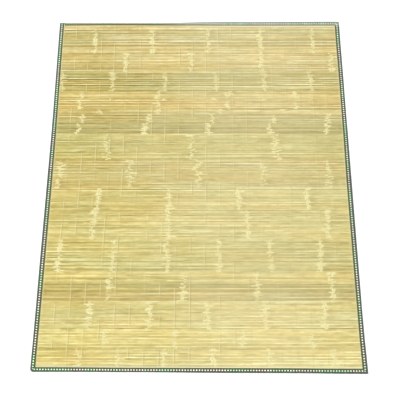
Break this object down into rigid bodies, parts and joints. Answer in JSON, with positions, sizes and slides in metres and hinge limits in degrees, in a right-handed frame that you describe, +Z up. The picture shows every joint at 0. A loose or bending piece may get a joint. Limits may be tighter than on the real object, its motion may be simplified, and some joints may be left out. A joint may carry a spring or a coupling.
{
  "type": "bamboo mat",
  "caption": "Flat bamboo slat floor mat, ribbed from side to side, with a folded woven tape bound round its edges.",
  "frame": {"origin": "middle of the mat, on the surface that it lies on", "axes": "+X along the slats, +Y along the mat's length towards the end where the tape's ends meet, +Z up out of the mat's face"},
  "size_m": [1.512, 2.009, 0.0038],
  "materials": {
    "slats": "split bamboo skin, straw to olive, soft satin",
    "tape": "woven grey-green tape with a pale chain of small eyes, matt"
  },
  "bodies": {
    "root": {"slat_panel": "slats", "binding_tape": "tape"}
  },
  "joints": []
}
